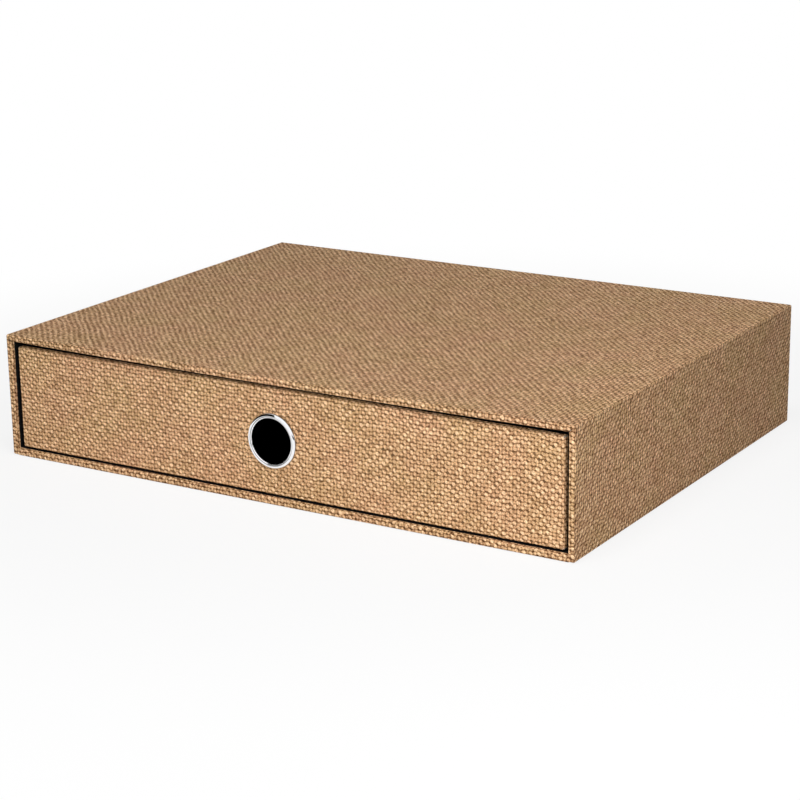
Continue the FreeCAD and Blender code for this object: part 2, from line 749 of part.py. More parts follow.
def write_pieces():
    os.makedirs(PARTS_FOLDER, exist_ok=True)
    for piece in subparts:
        piece.Shape.exportStep(f"{PARTS_FOLDER}/{piece.Label}.step")
        print(f"{piece.Label}: {len(piece.Shape.Solids)} solid, {piece.Shape.Volume:.1f} mm3")


check_document()
write_pieces()
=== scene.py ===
import math

import bmesh
import bpy
from bpy.props import FloatProperty, FloatVectorProperty, IntProperty, PointerProperty
from mathutils import Matrix, Vector


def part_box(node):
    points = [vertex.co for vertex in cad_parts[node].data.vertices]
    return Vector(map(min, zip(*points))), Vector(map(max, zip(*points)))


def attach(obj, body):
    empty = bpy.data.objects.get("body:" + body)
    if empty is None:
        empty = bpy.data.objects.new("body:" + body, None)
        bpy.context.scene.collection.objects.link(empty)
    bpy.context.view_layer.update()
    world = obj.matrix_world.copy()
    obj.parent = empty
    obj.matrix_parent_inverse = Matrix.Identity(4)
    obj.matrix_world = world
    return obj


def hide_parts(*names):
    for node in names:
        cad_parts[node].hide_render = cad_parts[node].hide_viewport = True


bl_info = {
    "name": "File Box With Drawer",
    "version": (1, 0, 0),
    "blender": (4, 5, 0),
    "location": "View3D > Sidebar > File Box",
    "description": "Dresses the packed file box in embossed cover paper, in a plain studio",
    "category": "Add Mesh",
}

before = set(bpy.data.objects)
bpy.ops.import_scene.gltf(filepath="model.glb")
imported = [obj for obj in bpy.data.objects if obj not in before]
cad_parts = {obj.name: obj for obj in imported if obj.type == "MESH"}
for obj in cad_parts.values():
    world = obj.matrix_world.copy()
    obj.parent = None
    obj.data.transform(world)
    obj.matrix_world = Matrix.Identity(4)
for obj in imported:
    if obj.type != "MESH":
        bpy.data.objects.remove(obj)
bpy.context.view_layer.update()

MM = 0.001
SHEET = "sheet"  # attribute: a point's place on the flat sheet of paper, in metres
EMBOSSED = "embossed"  # attribute: share of the relief that a point takes
CHART = "OFBake"  # the map that a finish is baked onto


# --- what a user may change
def length(name, description, default_mm, low_mm=0.0):
    return FloatProperty(name=name, description=description, default=default_mm * MM,
                         min=low_mm * MM, unit="LENGTH", precision=5)


def angle(name, description, degrees):
    return FloatProperty(name=name, description=description, default=math.radians(degrees),
                         subtype="ANGLE")


def colour(name, description, default):
    return FloatVectorProperty(name=name, description=description, default=default, size=3,
                               min=0.0, max=1.0, subtype="COLOR")


class CoverSettings(bpy.types.PropertyGroup):
    """The brown cover paper, embossed like coarse canvas"""
    pitch_across: length("Pitch across", "From one pressed thread to the next, sideways", 1.91)
    pitch_up: length("Pitch up", "From one pressed thread to the next, upwards", 1.96)
    relief: length("Relief", "Height of a pressed knot over the gaps round it", 0.30)
    edge_round: length("Edge rounding", "Rounding of a folded edge of the drawer's face", 1.1)
    gauge: length("Gauge", "Thickness of the cover paper", 0.25)
    turn_back: length("Turn-back", "Paper carried round behind the drawer's face", 12.0)
    top_ease: length("Top ease", "Paper settles this far below the face's upper edge", 0.95)
    side_ease: length("Side ease", "Paper settles this far inside each side edge", 0.3)
    seam_reach: length("Seam reach", "Run of the seam over the lip at the mouth's corner", 1.8)
    seam_half: length("Seam half width", "From the middle of that seam to its edge", 0.45)
    corner_cut: length("Corner cut", "Raw paper that shows across a folded corner", 0.9)
    face_step: length("Face mesh step", "Size of a mesh face on the drawer's front", 0.5, 0.2)
    unevenness: FloatProperty(name="Unevenness", description="How far the threads stray",
                              default=0.3, min=0.0, max=1.0, subtype="FACTOR")
    seed: IntProperty(name="Seed", description="Picks another run of uneven threads", default=3,
                      min=0)
    # painted highlight: the crest colour lights up the tops of the knots
    crest_highlight: colour("Crest", "Rubbed tops of the knots", (0.98, 0.685, 0.415))
    thread: colour("Thread", "Body of the pressed threads", (0.585, 0.343, 0.178))
    # the gap colour is partly ink printed in the gaps and partly painted shade in them
    gap: colour("Gap", "Ink left in the gaps", (0.12, 0.052, 0.022))
    warm: colour("Warm mottling", "Pinkish clouds in the print", (0.605, 0.318, 0.173))
    cool: colour("Cool mottling", "Yellowish clouds in the print", (0.545, 0.343, 0.145))
    core: colour("Core", "Raw paper at a sharp fold", (0.80, 0.74, 0.66))
    # painted shade: the seam colour stands in for the shadow down the slit where two flaps part
    seam: colour("Seam", "Dark line where two flaps part", (0.012, 0.008, 0.006))


class PaperSettings(bpy.types.PropertyGroup):
    """Lining paper, tape and bare board"""
    black: colour("Black paper", "Lining and tray paper", (0.010, 0.010, 0.011))
    board: colour("Grey board", "Bare board where it shows", (0.30, 0.27, 0.23))
    tape: colour("Gummed tape", "Brown corner tape", (0.36, 0.22, 0.11))


class EyeletSettings(bpy.types.PropertyGroup):
    """The chromed finger eyelet"""
    hole_radius: length("Hole radius", "Clear radius of the finger hole", 11.7)
    flange_radius: length("Flange radius", "Outer edge of the flange", 14.2)
    crown: length("Crown", "Height of the outer band over the face", 1.2)
    rim_height: length("Rim height", "Height of the inner rim over the face", 0.97)
    groove_height: length("Groove height", "Height left in the groove between them", 0.75)
    groove_place: length("Groove place", "From the hole's edge to the groove", 0.8)
    metal: length("Metal", "Sheet that the ferrule is pressed from", 0.4)
    segments: IntProperty(name="Segments", description="Faces round the eyelet", default=128,
                          min=24)
    chrome: colour("Chrome", "Bright chrome plate", (0.94, 0.94, 0.95))


class StudioSettings(bpy.types.PropertyGroup):
    """Floor, lamps and camera"""
    lens: FloatProperty(name="Lens", description="Focal length in millimetres, on a 36 mm gate",
                        default=99.81, min=10.0)
    azimuth: angle("Azimuth", "Camera's turn to the right of the front", 31.854)
    elevation: angle("Elevation", "Camera's height as an angle", 16.461)
    roll: angle("Roll", "Camera's lean", -0.821)
    floor: colour("Floor", "Pale floor", (0.80, 0.80, 0.80))
    sky: colour("Sky", "Even light from all round", (1.0, 1.0, 1.0))
    sky_strength: FloatProperty(name="Sky strength", description="Level of the even light",
                                default=0.04, min=0.0)


SETTING_GROUPS = {
    "file_box_cover": CoverSettings,
    "file_box_paper": PaperSettings,
    "file_box_eyelet": EyeletSettings,
    "file_box_studio": StudioSettings,
}


# --- node wiring
class Wiring:
    """Adds nodes to one tree and joins them. A value is a number, a tuple or a socket."""

    def __init__(self, tree):
        self.tree = tree

    def add(self, kind, **settings):
        node = self.tree.nodes.new(kind)
        for name, value in settings.items():
            setattr(node, name, value)
        return node

    def feed(self, socket, value):
        if isinstance(value, bpy.types.NodeSocket):
            self.tree.links.new(value, socket)
        else:
            socket.default_value = value

    def fed(self, kind, values, **settings):
        """A new node whose first inputs take the values in turn."""
        node = self.add(kind, **settings)
        for socket, value in zip(node.inputs, values):
            self.feed(socket, value)
        return node

    def math(self, operation, *values):
        return self.fed("ShaderNodeMath", values, operation=operation).outputs[0]

    def plus(self, *values):
        return self.math("ADD", *values)

    def minus(self, *values):
        return self.math("SUBTRACT", *values)

    def times(self, *values):
        return self.math("MULTIPLY", *values)

    def vector(self, operation, *values):
        return self.fed("ShaderNodeVectorMath", values, operation=operation).outputs[0]

    def scaled(self, vector, factor):
        node = self.fed("ShaderNodeVectorMath", (vector,), operation="SCALE")
        self.feed(node.inputs["Scale"], factor)
        return node.outputs[0]

    def size(self, vector):
        return self.fed("ShaderNodeVectorMath", (vector,), operation="LENGTH").outputs["Value"]

    def parts(self, vector):
        return tuple(self.fed("ShaderNodeSeparateXYZ", (vector,)).outputs)

    def joined(self, x, y, z=0.0):
        return self.fed("ShaderNodeCombineXYZ", (x, y, z)).outputs[0]

    def object_place(self):
        return self.add("ShaderNodeTexCoord").outputs["Object"]

    def noise(self, place, scale, detail, roughness=0.5, output=0):
        """Cloudy noise: output 0 is one cloud from 0 to 1, output 1 three clouds as a vector."""
        node = self.add("ShaderNodeTexNoise", noise_dimensions="3D")
        given = {"Vector": place, "Scale": scale, "Detail": detail, "Roughness": roughness}
        for name, value in given.items():
            self.feed(node.inputs[name], value)
        return node.outputs[output]

    def sway(self, place, scale, detail):
        """Three unlike clouds as a vector, each about nought."""
        clouds = self.noise(place, scale, detail, output=1)
        return self.vector("SUBTRACT", clouds, (0.5, 0.5, 0.5))

    def chances(self, cell):
        """Three even random numbers for each cell, as a vector."""
        node = self.fed("ShaderNodeTexWhiteNoise", (cell,), noise_dimensions="3D")
        return node.outputs["Color"]

    def ramp(self, value, low, high, start=0.0, end=1.0, smooth=False):
        return self.fed("ShaderNodeMapRange", (value, low, high, start, end), clamp=True,
                        interpolation_type="SMOOTHSTEP" if smooth else "LINEAR").outputs[0]

    def picked(self, chance, span):
        """The point of a span that a chance from 0 to 1 picks."""
        return self.ramp(chance, 0.0, 1.0, *span)

    def mix(self, given, output, **settings):
        """A mix node: given holds its values by input number."""
        node = self.add("ShaderNodeMix", **settings)
        for index, value in given.items():
            self.feed(node.inputs[index], value)
        return node.outputs[output]

    def mixed(self, factor, first, second):
        """A colour between two colours."""
        first, second = (tone if isinstance(tone, bpy.types.NodeSocket) else (*tone, 1.0)
                         for tone in (first, second))
        return self.mix({0: factor, 6: first, 7: second}, 2, data_type="RGBA")

    def tinted(self, base, tint):
        """The base colour multiplied by a tint."""
        return self.mix({0: 1.0, 6: base, 7: tint}, 2, data_type="RGBA", blend_type="MULTIPLY")

    def choose(self, switch, off, on):
        """The vector off where the switch is 0, and on where it is 1."""
        return self.mix({0: switch, 4: off, 5: on}, 1, data_type="VECTOR")


# --- the pressed canvas
# All in threads. A span gives both ends of what a crossing's chance picks from.
SEED_STEP = 17.0  # from one run of uneven threads to the next
DRIFT_SCALE, DRIFT_REACH = 0.07, 1.6  # slow bends in the run of the threads
STRAY_SCALE = 0.42  # shorter bends, by the unevenness
FRAY_SCALE, FRAY_SHARE = 1.5, 1.5  # ragged outlines, by a share of the unevenness
KNOT_PLAY, BAR_PLAY = 0.20, 0.18  # room in which a crossing strays
KNOT_HALF_WIDTH, KNOT_HALF_HEIGHT = (0.64, 0.73), (0.71, 0.66)
KNOT_SLANT, KNOT_RISE = 0.30, (0.82, 1.0)
BAR_HALF_SIZE, BAR_RISE = (0.72, 0.52), (0.54, 0.80)
PLUMPNESS = 0.62  # power of the humps' outline: less is plumper
GAP_LEVEL = 0.12  # bottom of the gaps


def thread_crossing(w, x, y, shift, seed, play):
    """Way from the nearest crossing to a point, across and along, and the crossing's chance.

    The upright thread lies over where shift is 0 and under where it is 1. The two kinds
    alternate like the squares of a chess board, and each crossing strays a little.
    """
    shifted = w.plus(x, float(shift))
    one_way = w.math("ROUND", w.times(w.plus(shifted, y), 0.5))
    other_way = w.math("ROUND", w.times(w.minus(shifted, y), 0.5))
    cell = w.joined(one_way, other_way, w.plus(seed, 0.5 * shift))
    luck_x, luck_y, luck = w.parts(w.chances(cell))

    def strayed(way, chance):
        return w.plus(way, w.times(w.minus(chance, 0.5), play))

    across = w.minus(shifted, w.plus(one_way, other_way))
    along = w.minus(y, w.minus(one_way, other_way))
    return strayed(across, luck_x), strayed(along, luck_y), luck


def dome(w, across, along, half_width, half_height):
    """A round hump, 1 at its middle and 0 from its rim on."""
    reach = [w.math("POWER", w.math("DIVIDE", w.math("ABSOLUTE", way), half), 2.0)
             for way, half in ((across, half_width), (along, half_height))]
    inside = w.minus(1.0, w.plus(*reach))
    return w.math("POWER", w.math("MAXIMUM", inside, 0.0), PLUMPNESS)


def canvas_relief(w, place, across, up, unevenness, seed):
    """Height of the embossing, at most about 1, and the nearest knot's chance.

    Where an upright thread lies over, it swells to a plump round knot. Between the knots the
    level threads show as short low bars.
    """
    threads = w.vector("DIVIDE", place, w.joined(across, up, 1.0))
    threads = w.vector("ADD", threads, w.joined(0.0, 0.0, w.times(seed, SEED_STEP)))
    drift = w.sway(threads, DRIFT_SCALE, 1.0)
    stray = w.sway(threads, STRAY_SCALE, 0.0)
    threads = w.vector("ADD", threads, w.scaled(drift, DRIFT_REACH))
    threads = w.vector("ADD", threads, w.scaled(stray, unevenness))
    fray = w.scaled(w.sway(threads, FRAY_SCALE, 1.0), w.times(unevenness, FRAY_SHARE))
    x, y, _ = w.parts(w.vector("ADD", threads, fray))
    knot_x, knot_y, luck = thread_crossing(w, x, y, 0, seed, KNOT_PLAY)
    slanted = w.plus(knot_x, w.times(knot_y, KNOT_SLANT))
    half_width, half_height = w.picked(luck, KNOT_HALF_WIDTH), w.picked(luck, KNOT_HALF_HEIGHT)
    knot = dome(w, slanted, knot_y, half_width, half_height)
    knot = w.times(knot, w.picked(luck, KNOT_RISE))
    bar_x, bar_y, bar_luck = thread_crossing(w, x, y, 1, seed, BAR_PLAY)
    bar = w.times(dome(w, bar_x, bar_y, *BAR_HALF_SIZE), w.picked(bar_luck, BAR_RISE))
    return w.math("MAXIMUM", w.math("MAXIMUM", knot, bar), GAP_LEVEL), luck


def folded_place(w, half_width, top, front, back):
    """Place on the sheet for a point of the box, whose sides unfold from the lid's edges."""
    x, y, z = w.parts(w.object_place())
    normal = w.add("ShaderNodeNewGeometry").outputs["True Normal"]
    facing_x, facing_y, facing_z = w.parts(w.vector("ABSOLUTE", normal))
    to_right = w.math("GREATER_THAN", x, 0.0)
    sign = w.minus(w.times(to_right, 2.0), 1.0)
    drop = w.minus(top, z)
    lid_place = w.joined(x, y)
    side_place = w.joined(w.times(sign, w.plus(drop, half_width)), y)
    nearer_back = w.math("GREATER_THAN", y, 0.0)
    front_place = w.joined(x, w.minus(front, drop))
    back_place = w.joined(x, w.plus(back, drop))
    end_place = w.choose(nearer_back, front_place, back_place)
    is_side = w.math("GREATER_THAN", facing_x, w.math("MAXIMUM", facing_y, facing_z))
    is_end = w.math("GREATER_THAN", facing_y, w.math("MAXIMUM", facing_x, facing_z))
    return w.choose(is_end, w.choose(is_side, lid_place, side_place), end_place)


def sheet_place(w):
    """Place on the sheet, as a pressed piece carries it."""
    return w.add("ShaderNodeAttribute", attribute_name=SHEET).outputs["Vector"]


# --- finishes
NOISE_SPAN = (0.3, 0.7)  # where cloudy noise mostly lies
# Cover paper: noise is (clouds in a metre, detail, roughness), a span is (low, high)
COVER_FIBRE, COVER_CLOUD = (1400.0, 2.0, 0.6), (26.0, 3.0, 0.55)
CLOUD_SPAN, THREAD_SHARE = (0.36, 0.64), 0.45
INK_AND_SHADE_FROM = 0.20  # height below which only the gaps' ink and painted shade show
# painted highlight on the knots' tops: the heights it grows over, and its share, picked for each
# knot
HIGHLIGHT_SPAN, HIGHLIGHT_SHARE = (0.50, 0.95), (0.36, 0.88)
GRAIN_SPAN, GRAIN_TONE = (0.38, 0.62), (0.66, 1.34)
SHINE_SPAN, COVER_ROUGHNESS, COVER_SPECULAR = (0.2, 1.0), (0.78, 0.52), 0.07
FIBRE_LIFT = 0.25  # height of the fibres, as a share of a knot's
CASING_BUMP, CASING_INK_AND_SHADE = 2.1, 0.72  # bump as a share of the relief; height where the gaps' ink and painted shade end, higher on the casing, whose knots are only bumped and cast no shade of their own
FACE_BUMP, FACE_INK_AND_SHADE = 0.7, 0.64
# Plain papers
PAPER_FIBRE, PAPER_CLOUD = (4.0, 0.65), (30.0, 2.0)
PAPER_TONE, PAPER_PLAY, PAPER_BUMP = (0.94, 1.06), 0.06, 0.00004
# Chrome
HAZE = (900.0, 3.0)
HAZE_TONE, CHROME_ROUGHNESS = (0.97, 1.0), (0.04, 0.09)
# painted shade in the eyelet's groove and a painted shadow round its outer rim, as tones of the
# chrome's colour
GROOVE_SHADE_SPAN, GROOVE_SHADE = (0.03 * MM, 0.13 * MM), 0.15
RIM_SHADOW_BAND, RIM_SHADOW = 0.25 * MM, 0.25


def new_material(name):
    material = bpy.data.materials.new(name)
    material.use_nodes = True
    tree = material.node_tree
    return material, Wiring(tree), tree.nodes["Principled BSDF"]


def bumped(w, shader, height, distance):
    bump = w.add("ShaderNodeBump")
    bump.inputs["Distance"].default_value = distance
    w.feed(bump.inputs["Height"], height)
    w.feed(shader.inputs["Normal"], bump.outputs[0])


def raw_corners(w, place, low, high, cut):
    """1 on a short line across each corner of the face, where the fold shows its pale core."""
    core, edge, end = 0.2 * cut, 0.4 * cut, 1.4 * cut
    x, y, _ = w.parts(place)
    from_side = w.minus(high.x, w.math("ABSOLUTE", x))
    half = (high.z - low.z) / 2
    from_end = w.minus(half, w.math("ABSOLUTE", w.minus(y, low.z + half)))
    off_line = w.math("ABSOLUTE", w.minus(w.plus(from_side, from_end), cut))
    near = w.ramp(w.math("MAXIMUM", from_side, from_end), cut, end, 1.0, 0.0)
    return w.times(w.ramp(off_line, core, edge, 1.0, 0.0), near)


def mouth_seam_shade(w, half_width, ceiling, front, reach, seam_half):
    """1 in the painted shade of the seam at 45 degrees from each upper corner of the mouth, where
    flaps part.
    """
    core, fade_from, fade_to = 0.35 * seam_half, 1.3 * reach, 2.0 * reach
    before_mouth, depth = -1.5 * seam_half, 3.0 * seam_half
    x, y, z = w.parts(w.object_place())
    out = w.minus(w.math("ABSOLUTE", x), half_width)
    rise = w.minus(z, ceiling)
    off_line = w.math("ABSOLUTE", w.minus(out, rise))
    on_line = w.ramp(off_line, core, seam_half, 1.0, 0.0)
    along = w.ramp(w.plus(out, rise), fade_from, fade_to, 1.0, 0.0)
    at_mouth = w.math("GREATER_THAN", w.math("MINIMUM", out, rise), before_mouth)
    at_front = w.math("LESS_THAN", y, front + depth)
    return w.times(w.times(on_line, along), w.times(at_mouth, at_front))


def cover_finish(name, cover, place_of, bump_share, ink_and_shade_end, raw=None, seam=None):
    """Brown paper pressed like canvas: tan knots with a painted highlight on their tops, gaps dark
    with ink and painted shade, faint pink and yellow clouds.
    """
    material, w, shader = new_material(name)
    place = place_of(w)
    height, luck = canvas_relief(w, place, cover.pitch_across, cover.pitch_up,
                                 cover.unevenness, float(cover.seed))
    fibre = w.noise(place, *COVER_FIBRE)
    cloud = w.noise(place, *COVER_CLOUD)
    body = w.mixed(w.ramp(cloud, *CLOUD_SPAN), cover.cool, cover.warm)
    body = w.mixed(THREAD_SHARE, body, cover.thread)
    shade = w.mixed(w.ramp(height, INK_AND_SHADE_FROM, ink_and_shade_end, smooth=True), cover.gap, body)
    # painted highlight on the tops of the knots, stronger on some knots than on others
    painted_highlight = w.ramp(height, *HIGHLIGHT_SPAN, smooth=True)
    painted_highlight = w.times(painted_highlight, w.picked(luck, HIGHLIGHT_SHARE))
    shade = w.mixed(painted_highlight, shade, cover.crest_highlight)
    grain = w.ramp(fibre, *GRAIN_SPAN, *GRAIN_TONE)
    shade = w.tinted(shade, w.joined(grain, grain, grain))
    if raw:
        shade = w.mixed(raw(w, place), shade, cover.core)
    # painted shade down the seams at the mouth's upper corners
    if seam:
        shade = w.mixed(seam(w), shade, cover.seam)
    w.feed(shader.inputs["Base Color"], shade)
    w.feed(shader.inputs["Roughness"], w.ramp(height, *SHINE_SPAN, *COVER_ROUGHNESS))
    shader.inputs["Specular IOR Level"].default_value = COVER_SPECULAR
    relief = w.plus(height, w.times(fibre, FIBRE_LIFT))
    bumped(w, shader, relief, cover.relief * bump_share)
    return material


def paper_finish(name, base, roughness, fibre_size, contrast, specular=0.25):
    """Plain paper or board: short fibres in tone and surface."""
    material, w, shader = new_material(name)
    place = w.object_place()
    fibre = w.noise(place, 1.0 / fibre_size, *PAPER_FIBRE)
    cloud = w.noise(place, *PAPER_CLOUD)
    tone = w.times(w.ramp(fibre, *NOISE_SPAN, 1.0 - contrast, 1.0 + contrast),
                   w.ramp(cloud, *NOISE_SPAN, *PAPER_TONE))
    matt = w.ramp(fibre, *NOISE_SPAN, roughness - PAPER_PLAY, roughness + PAPER_PLAY)
    w.feed(shader.inputs["Base Color"], w.scaled(tuple(base), tone))
    w.feed(shader.inputs["Roughness"], matt)
    shader.inputs["Specular IOR Level"].default_value = specular
    bumped(w, shader, fibre, PAPER_BUMP)
    return material


def chrome_finish(name, base, centre, groove, rim):
    """Bright chrome with the faintest polishing haze, with painted shade in its groove and a
    painted shadow at its outer rim.
    """
    material, w, shader = new_material(name)
    place = w.object_place()
    haze = w.noise(place, *HAZE)
    off_axis = w.vector("MULTIPLY", w.vector("SUBTRACT", place, tuple(centre)), (1.0, 0.0, 1.0))
    radius = w.size(off_axis)
    off_groove = w.math("ABSOLUTE", w.minus(radius, groove))
    # painted shade in the groove and a painted shadow at the outer rim
    groove_shade = w.ramp(off_groove, *GROOVE_SHADE_SPAN, GROOVE_SHADE, 1.0)
    rim_shadow = w.ramp(radius, rim - RIM_SHADOW_BAND, rim, 1.0, RIM_SHADOW)
    tone = w.times(w.ramp(haze, *NOISE_SPAN, *HAZE_TONE), w.times(groove_shade, rim_shadow))
    w.feed(shader.inputs["Base Color"], w.scaled(tuple(base), tone))
    w.feed(shader.inputs["Roughness"], w.ramp(haze, *NOISE_SPAN, *CHROME_ROUGHNESS))
    shader.inputs["Metallic"].default_value = 1.0
    return material


def dress(material, *nodes):
    """Give CAD nodes their finish without touching their meshes."""
    for node in nodes:
        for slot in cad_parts[node].material_slots:
            slot.material = material


# --- mesh helpers
PLACES_IN_METRE = 2e6  # points at the same such place are one vertex
TINY = 1e-6  # metres


def steps_between(low, high, step):
    """Even steps from low to high, each about as long as step."""
    count = max(1, round((high - low) / step))
    return [low + (high - low) * i / count for i in range(count + 1)]


def pairs_round(loop):
    """Each item of a closed loop with the one after it."""
    return zip(loop, [*loop[1:], loop[0]])


def corners_of(low, high, inset):
    """Corners of an upright rectangle as x and z, anticlockwise as seen from the front."""
    x0, x1, z0, z1 = low.x + inset, high.x - inset, low.z + inset, high.z - inset
    return (x0, z0), (x1, z0), (x1, z1), (x0, z1)


def as_mesh(shape, name):
    """The gathered faces as a mesh, turned outwards."""
    bmesh.ops.recalc_face_normals(shape, faces=shape.faces)
    mesh = bpy.data.meshes.new(name)
    shape.to_mesh(mesh)
    shape.free()
    return mesh


def new_object(name, data):
    thing = bpy.data.objects.new(name, data)
    bpy.context.scene.collection.objects.link(thing)
    return thing


def mount(thing, body, node):
    """Let a finished piece ride on its body and stand for the CAD node that it replaces."""
    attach(thing, body)
    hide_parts(node)


class Sheet:
    """Collects the faces of one piece of folded paper."""

    def __init__(self):
        self.mesh = bmesh.new()
        self.place = self.mesh.verts.layers.float_vector.new(SHEET)
        self.embossed = self.mesh.verts.layers.float.new(EMBOSSED)
        self.chart = self.mesh.loops.layers.uv.new(CHART)
        self.known = {}

    def point(self, at, place=(0.0, 0.0), embossed=0.0):
        key = tuple(round(c * PLACES_IN_METRE) for c in at)
        if key not in self.known:
            vertex = self.mesh.verts.new(at)
            vertex[self.place] = (*place, 0.0)
            vertex[self.embossed] = embossed
            self.known[key] = vertex
        return self.known[key]

    def face(self, points, chart):
        """A face, and the place of each of its corners on the chart."""
        corners = list(dict.fromkeys(points))
        if len(corners) < 3:
            return
        face = self.mesh.faces.new(corners)
        face.smooth = True
        charted = dict(zip(points, chart))
        for loop in face.loops:
            loop[self.chart].uv = charted[loop.vert]

    def patch(self, across, along, point_of, chart_of):
        """A grid of small faces: point_of and chart_of take a step across and a step along."""
        rows = [[(point_of(u, v), (u, v)) for u in across] for v in along]
        for low, high in zip(rows, rows[1:]):
            for a, b, c, d in zip(low, low[1:], high[1:], high):
                middle = ((a[1][0] + b[1][0]) / 2, (a[1][1] + d[1][1]) / 2)
                spots = [chart_of(p[1], middle) for p in (a, b, c, d)]
                self.face([p[0] for p in (a, b, c, d)], spots)


def clamp_rounded(at, low, high, radius):
    """The point of a sharp box moved onto the same box with rounded edges."""
    core = Vector([min(max(c, l + radius), h - radius) for c, l, h in zip(at, low, high)])
    away = Vector(at) - core
    return core + away.normalized() * radius if away.length > TINY else Vector(at)


# The embossing's inputs and the cover's settings that they take
PRESSED = {"Pitch across": "pitch_across", "Pitch up": "pitch_up", "Relief": "relief",
           "Unevenness": "unevenness", "Seed": "seed"}


def embossing_tree():
    """Geometry nodes that press the canvas into a sheet, inwards from its outer face."""
    tree = bpy.data.node_groups.new("embossing", "GeometryNodeTree")
    face = tree.interface
    face.new_socket("Geometry", in_out="INPUT", socket_type="NodeSocketGeometry")
    for name in PRESSED:
        face.new_socket(name, in_out="INPUT", socket_type="NodeSocketFloat")
    face.new_socket("Finish", in_out="INPUT", socket_type="NodeSocketMaterial")
    face.new_socket("Geometry", in_out="OUTPUT", socket_type="NodeSocketGeometry")
    w = Wiring(tree)
    given = w.add("NodeGroupInput").outputs

    def carried(name, kind):
        node = w.add("GeometryNodeInputNamedAttribute", data_type=kind)
        node.inputs["Name"].default_value = name
        return node.outputs[0]

    place, taken = carried(SHEET, "FLOAT_VECTOR"), carried(EMBOSSED, "FLOAT")
    height, _ = canvas_relief(w, place, given["Pitch across"], given["Pitch up"],
                              given["Unevenness"], given["Seed"])
    sunk = w.times(w.times(w.minus(height, 1.0), given["Relief"]), taken)
    move = w.fed("GeometryNodeSetPosition", (given["Geometry"],))
    w.feed(move.inputs["Offset"], w.scaled(w.add("GeometryNodeInputNormal").outputs[0], sunk))
    real = w.fed("GeometryNodeRealizeInstances", move.outputs)
    finish = w.fed("GeometryNodeSetMaterial", real.outputs)
    w.feed(finish.inputs["Material"], given["Finish"])
    w.fed("NodeGroupOutput", finish.outputs)
    return tree


def press(thing, cover, material):
    """Emboss a sheet by geometry nodes and keep the outcome as a plain mesh."""
    tree = embossing_tree()
    modifier = thing.modifiers.new("embossing", "NODES")
    modifier.node_group = tree
    given = {name: float(getattr(cover, setting)) for name, setting in PRESSED.items()}
    given["Finish"] = material
    for item in tree.interface.items_tree:
        if item.in_out == "INPUT" and item.name in given:
            modifier[item.identifier] = given[item.name]
    graph = bpy.context.evaluated_depsgraph_get()
    flat, thing.data = thing.data, bpy.data.meshes.new_from_object(thing.evaluated_get(graph))
    thing.modifiers.clear()
    bpy.data.meshes.remove(flat)
    thing.data.name = thing.name


# --- casing and tray
GREY_BOARD = {"roughness": 0.85, "fibre_size": 0.0009, "contrast": 0.22}
BLACK_PAPER = {"fibre_size": 0.0004, "contrast": 0.30}


class FILEBOX_OT_casing(bpy.types.Operator):
    """Dress the casing's boards, tapes, linings and embossed cover"""
    bl_idname = "file_box.casing"
    bl_label = "Casing"

    def execute(self, context):
        cover, paper = context.scene.file_box_cover, context.scene.file_box_paper
        board = paper_finish("grey board", paper.board, **GREY_BOARD)
        tape = paper_finish("gummed tape", paper.tape, 0.55, 0.0006, 0.12)
        lining = paper_finish("black lining paper", paper.black, 0.62, specular=0.12,
                              **BLACK_PAPER)
        low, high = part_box("casing_wrap")
        _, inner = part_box("casing_back_lining")
        folded = cover_finish(
            "embossed cover on the casing", cover,
            lambda w: folded_place(w, high.x, high.z, low.y, high.y), CASING_BUMP, CASING_INK_AND_SHADE,
            # painted shade down the seams at the mouth's upper corners
            seam=lambda w: mouth_seam_shade(w, inner.x, inner.z, low.y, cover.seam_reach,
                                       cover.seam_half))
        sides = ("top", "bottom", "left", "right", "back")
        dress(board, *(f"casing_{side}_board" for side in sides))
        dress(tape, "casing_corner_stays")
        dress(lining, "casing_band_lining", "casing_back_lining")
        dress(folded, "casing_wrap", "casing_base_sheet", "casing_back_sheet")
        return {"FINISHED"}


class FILEBOX_OT_tray(bpy.types.Operator):
    """Dress the tray's boards and black papers"""
    bl_idname = "file_box.tray"
    bl_label = "Tray"

    def execute(self, context):
        paper = context.scene.file_box_paper
        board = paper_finish("tray board", paper.board, **GREY_BOARD)
        black = paper_finish("black tray paper", paper.black, 0.58, specular=0.2, **BLACK_PAPER)
        sides = ("bottom", "left", "right", "back", "front")
        dress(board, *(f"tray_{side}_board" for side in sides))
        dress(bpy.data.materials["gummed tape"], "tray_corner_stays")
        dress(black, "tray_wrap", "tray_base_sheet", "tray_wall_lining", "tray_floor_lining")
        return {"FINISHED"}


# --- the drawer's face
CHART_MARGIN = 0.001  # room left round the pressed sheet on its chart
SPECK, SPECK_SIZE = (0.995, 0.002), (0.002, 0.0015)  # chart of the faces that never show
FADE = 4.0  # the relief fades over the last quarter of the depth
PAPER_CLEARANCE = 0.5 * MM  # from the tube to the paper's hole
BORE_CLEARANCE = 0.1 * MM  # from the tube to the board's bore
LESS_CRUSH = 0.4 * MM  # the board is crushed less than the paper bends


